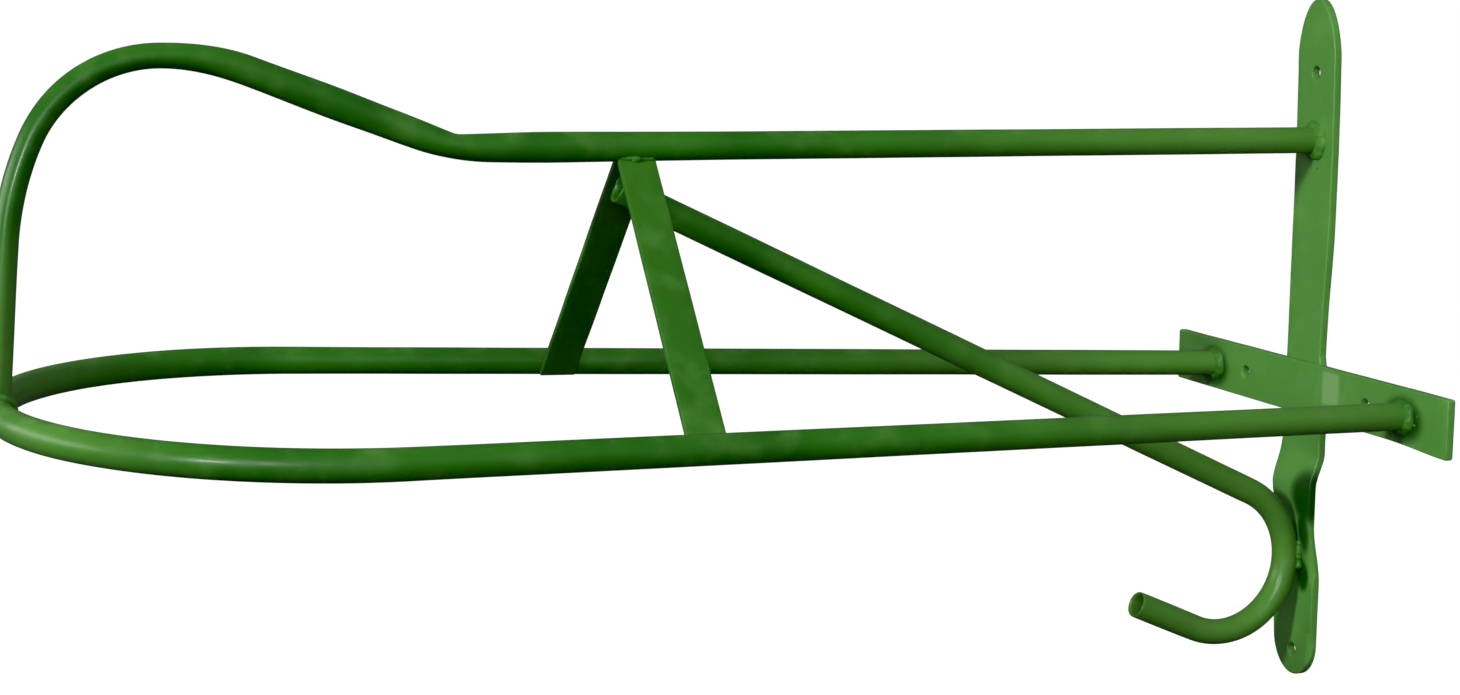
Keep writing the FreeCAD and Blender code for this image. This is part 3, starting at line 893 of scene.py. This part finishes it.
def painted_shadow_amount(n, x, y, z, facing_y):
    """How much of the painted shadow lies at a point: soft dark ovals on the fronts of the wall bars."""
    total = 0.0
    for centre_x, centre_z, half_x, half_z in PAINTED_SHADOWS:
        across = n.maths("DIVIDE", n.maths("SUBTRACT", x, centre_x), half_x)
        upright = n.maths("DIVIDE", n.maths("SUBTRACT", z, centre_z), half_z)
        away = n.maths("ADD", n.maths("POWER", across, 2.0), n.maths("POWER", upright, 2.0))
        total = n.maths("MAXIMUM", n.spread(away, 0.35, 1.4, 1.0, 0.0), total)
    return n.product(total, n.spread(y, *PAINTED_SHADOW_REACH), n.spread(facing_y, 0.1, 0.5, 1.0, 0.0))


def uneven_skin(n, coordinate, peel, runs):
    """Orange peel over sags that are drawn out downwards."""
    stretched = n.add("ShaderNodeMapping", Scale=(1.0, 1.0, 0.18))
    n.link(coordinate, stretched.inputs["Vector"])
    sags = n.noise(stretched.outputs["Vector"], SAG_SCALE, 2.0)
    fine = n.noise(coordinate, PEEL_SCALE, 3.0)
    return n.bump(sags, runs, SAG_HEIGHT, n.bump(fine, peel, PEEL_HEIGHT))


def enamel(name, greens, peel, runs, pale, satin=0.0, painted_highlight_share=0.0, painted_shadow_share=0.0):
    """Thick brushed-on green enamel: cloudy cover, orange peel, sags, rubbed high spots and a little dust,
    with painted light and shade: paler towards the wall and the nose, a painted highlight on the cross bar
    and painted shadows on the wall bars.
    """
    material = bpy.data.materials.new(name)
    n = Nodes(material)
    deep, main, light = greens
    coordinate = n.add("ShaderNodeTexCoord").outputs["Object"]
    geometry = n.add("ShaderNodeNewGeometry")
    x, y, z = n.split(coordinate)
    _, facing_y, facing_z = n.split(geometry.outputs["Normal"])
    cloudy = n.noise(coordinate, CLOUD_SCALE, 3.0)
    blotchy = n.noise(coordinate, BLOTCH_SCALE, 5.0)

    base = n.blend(n.spread(cloudy, 0.36, 0.66), main, deep)
    # painted light: paler towards the wall and on the nose and the riser's foot
    painted_light_near_nose = n.product(n.spread(y, *PAINTED_LIGHT_TO_NOSE), n.spread(z, *PAINTED_LIGHT_LOW_DOWN))
    base = n.blend(n.maths("ADD", n.spread(y, *PAINTED_LIGHT_TO_WALL), painted_light_near_nose), base, light)
    base = n.blend(n.product(n.spread(blotchy, 0.48, 0.72), pale), base, light)
    high_spots = n.spread(geometry.outputs["Pointiness"], 0.52, 0.60)
    base = n.blend(n.product(high_spots, n.spread(blotchy, 0.38, 0.62), 0.45), base, light)
    # painted highlight: a pale patch on the cross bar's face
    base = n.blend(n.product(painted_highlight_amount(n, x, y, z), painted_highlight_share), base, PAINTED_HIGHLIGHT_GREEN)
    # painted shadow: dark green ovals beside the hook's weld and round the hoop's ends
    base = n.blend(n.product(painted_shadow_amount(n, x, y, z, facing_y), painted_shadow_share), base, PAINTED_SHADOW_GREEN)
    settled = n.product(n.spread(facing_z, 0.6, 1.0), n.spread(blotchy, 0.42, 0.7))
    base = n.blend(n.product(settled, 0.08), base, DUST)

    cover_roughness = n.spread(blotchy, 0.3, 0.75, 0.33 + satin, 0.50 + satin)
    shader = n.add("ShaderNodeBsdfPrincipled")
    shader.inputs["IOR"].default_value = 1.5
    shader.inputs["Coat Weight"].default_value = 0.15
    shader.inputs["Coat Roughness"].default_value = 0.16
    n.link(base, shader.inputs["Base Color"])
    n.link(n.maths("ADD", cover_roughness, n.product(settled, 0.2)), shader.inputs["Roughness"])
    n.link(uneven_skin(n, coordinate, peel, runs), shader.inputs["Normal"])
    output = n.add("ShaderNodeOutputMaterial")
    n.link(shader.outputs["BSDF"], output.inputs["Surface"])
    return material


# ---- the rack -------------------------------------------------------------------------------------------
def build_rack():
    tube_paint = enamel("green_enamel_tube", TUBE_GREENS, 0.22, 0.22, 0.25)
    flat_paint = enamel("green_enamel_flat", FLAT_GREENS, 0.30, 0.35, 0.35, painted_highlight_share=0.7, painted_shadow_share=0.95)
    strut_paint = enamel("green_enamel_strut", STRUT_GREENS, 0.25, 0.15, 0.25, 0.12)
    weld_paint = enamel("green_enamel_weld", WELD_GREENS, 0.35, 0.15, 0.8, 0.22)
    # a darker copy of the weld enamel: painted shade on the hoop's end welds and the hook's welds
    weld_paint_with_painted_shade = enamel("green_enamel_weld_painted_shade", SHADED_WELD_GREENS, 0.35, 0.15, 0.8, 0.15)
    make_vertical_bar(flat_paint)
    make_cross_bar(flat_paint)
    make_hoop(tube_paint)
    make_saddle_rail(tube_paint)
    make_brace_and_hook(tube_paint)
    make_rail_wall_weld(weld_paint)
    make_nose_weld(weld_paint)
    make_bar_lower_weld(weld_paint)
    for name, side in (("right", 1), ("left", -1)):
        make_strut(name, side, strut_paint)
        make_hoop_end_weld(name, side, weld_paint_with_painted_shade)
        make_strut_top_weld(name, side, weld_paint)
        make_strut_foot_weld(name, side, weld_paint)
        make_brace_weld(name, side, weld_paint)
        make_hook_weld(name, side, weld_paint_with_painted_shade)
        make_bar_back_weld(name, side, weld_paint)


# ---- studio ---------------------------------------------------------------------------------------------
FLOOR_Z = -0.9
FLOOR_RADIUS = 400.0
FLOOR_GREY = 0.30
FLOOR_GLOW = 0.93


def make_floor():
    """Plain pale floor that only the camera sees."""
    material = bpy.data.materials.new("pale_floor")
    n = Nodes(material)
    shader = n.add("ShaderNodeBsdfDiffuse", Color=(FLOOR_GREY, FLOOR_GREY, FLOOR_GREY, 1))
    glow = n.add("ShaderNodeEmission", Strength=FLOOR_GLOW)
    both = n.add("ShaderNodeAddShader")
    output = n.add("ShaderNodeOutputMaterial")
    n.link(shader.outputs[0], both.inputs[0])
    n.link(glow.outputs[0], both.inputs[1])
    n.link(both.outputs[0], output.inputs["Surface"])
    bm = bmesh.new()
    bmesh.ops.create_circle(bm, cap_ends=True, cap_tris=True, segments=96, radius=FLOOR_RADIUS)
    mesh = bpy.data.meshes.new("floor")
    bm.to_mesh(mesh)
    bm.free()
    mesh.materials.append(material)
    floor = bpy.data.objects.new("floor", mesh)
    floor.location.z = FLOOR_Z
    floor.visible_diffuse = False
    floor.visible_glossy = False
    bpy.context.scene.collection.objects.link(floor)


GLOSS_DIMMING = 0.6
BLACK_POINT = 0.0075


def make_world():
    """White to the camera; to the rack, soft light from above that falls away below."""
    world = bpy.data.worlds.new("studio")
    bpy.context.scene.world = world
    n = Nodes(world)
    _, _, upward = n.split(n.add("ShaderNodeTexCoord").outputs["Generated"])
    brightness = n.spread(upward, -0.7, 0.9, 0.12, 0.42)
    path = n.add("ShaderNodeLightPath")
    dimming = n.product(path.outputs["Is Glossy Ray"], -GLOSS_DIMMING)
    soft = n.add("ShaderNodeBackground")
    n.link(n.product(brightness, n.maths("ADD", dimming, 1.0)), soft.inputs["Strength"])
    white = n.add("ShaderNodeBackground", Color=(1, 1, 1, 1))
    pick = n.add("ShaderNodeMixShader")
    n.link(path.outputs["Is Camera Ray"], pick.inputs[0])
    n.link(soft.outputs[0], pick.inputs[1])
    n.link(white.outputs[0], pick.inputs[2])
    output = n.add("ShaderNodeOutputWorld")
    n.link(pick.outputs[0], output.inputs["Surface"])


def softbox(name, place, target, size, watts, spread_deg=180, lights_paint=True, mirrored=True):
    """Area light that lights the paint, is mirrored in its gloss, or both."""
    light = bpy.data.lights.new(name, "AREA")
    light.shape = "RECTANGLE"
    light.size, light.size_y = size
    light.energy = watts
    light.spread = math.radians(spread_deg)
    lamp = bpy.data.objects.new(name, light)
    lamp.location = place
    lamp.rotation_euler = (Vector(target) - Vector(place)).to_track_quat("-Z", "Y").to_euler()
    lamp.visible_diffuse = lights_paint
    lamp.visible_glossy = mirrored
    bpy.context.scene.collection.objects.link(lamp)


def make_lights():
    middle = (0, -0.2, 0.0)
    softbox("key_front", (0.75, -2.45, 1.05), middle, (0.3, 0.25), 68, mirrored=False)
    softbox("fill_right", (1.9, -0.5, 1.1), middle, (1.6, 1.6), 25, mirrored=False)
    softbox("fill_back", (1.1, 1.9, 0.9), middle, (1.2, 1.2), 9, mirrored=False)
    softbox("wall_side", (1.35, -0.95, 0.45), (0, 0.05, 0.0), (0.5, 0.5), 0.5, 45)
    softbox("strip_front", (-0.6, -2.2, 0.34), (0, -0.55, 0.0), (1.6, 0.5), 9, lights_paint=False)
    softbox("glint_left", (0.98, -1.45, 0.33), (0, -0.3, 0.0), (0.16, 0.16), 6, lights_paint=False)


# ---- camera ---------------------------------------------------------------------------------------------
CAMERA_AT = (1.00690, -0.68422, 0.19500)
CAMERA_YAW_DEG = 69.297
CAMERA_PITCH_DEG = 6.905
CAMERA_ROLL_DEG = -0.955
PICTURE_WIDTH = 1460
PICTURE_HEIGHT = 695
FOCAL_PIXELS = 2444.1
PRINCIPAL_X = 732.74
PRINCIPAL_Y = 271.29
SENSOR_MM = 36.0


def make_camera():
    """Pinhole camera, with its principal point placed by the lens shift."""
    yaw, pitch, roll = (math.radians(a) for a in (CAMERA_YAW_DEG, CAMERA_PITCH_DEG, CAMERA_ROLL_DEG))
    forward = Vector((-math.sin(yaw) * math.cos(pitch), math.cos(yaw) * math.cos(pitch), -math.sin(pitch)))
    right = forward.cross(Vector((0, 0, 1))).normalized()
    down = forward.cross(right)
    rolled_right = right * math.cos(roll) + down * math.sin(roll)
    rolled_down = down * math.cos(roll) - right * math.sin(roll)
    data = bpy.data.cameras.new("camera")
    data.sensor_fit = "HORIZONTAL"
    data.sensor_width = SENSOR_MM
    data.lens = FOCAL_PIXELS / PICTURE_WIDTH * SENSOR_MM
    data.shift_x = (PICTURE_WIDTH / 2 - PRINCIPAL_X) / PICTURE_WIDTH
    data.shift_y = (PRINCIPAL_Y - PICTURE_HEIGHT / 2) / PICTURE_WIDTH
    data.clip_start = 0.05
    data.clip_end = 1000.0
    camera = bpy.data.objects.new("camera", data)
    axes = Matrix((rolled_right, -rolled_down, -forward)).transposed()
    camera.matrix_world = Matrix.Translation(CAMERA_AT) @ axes.to_4x4()
    bpy.context.scene.collection.objects.link(camera)
    bpy.context.scene.camera = camera


def set_tones():
    """Plain tones with a small black point, so that the deep greens stay saturated."""
    view = bpy.context.scene.view_settings
    view.view_transform = "Standard"
    view.use_curve_mapping = True
    view.curve_mapping.black_level = (BLACK_POINT,) * 3


make_camera()
make_world()
make_lights()
make_floor()
build_rack()
set_tones()
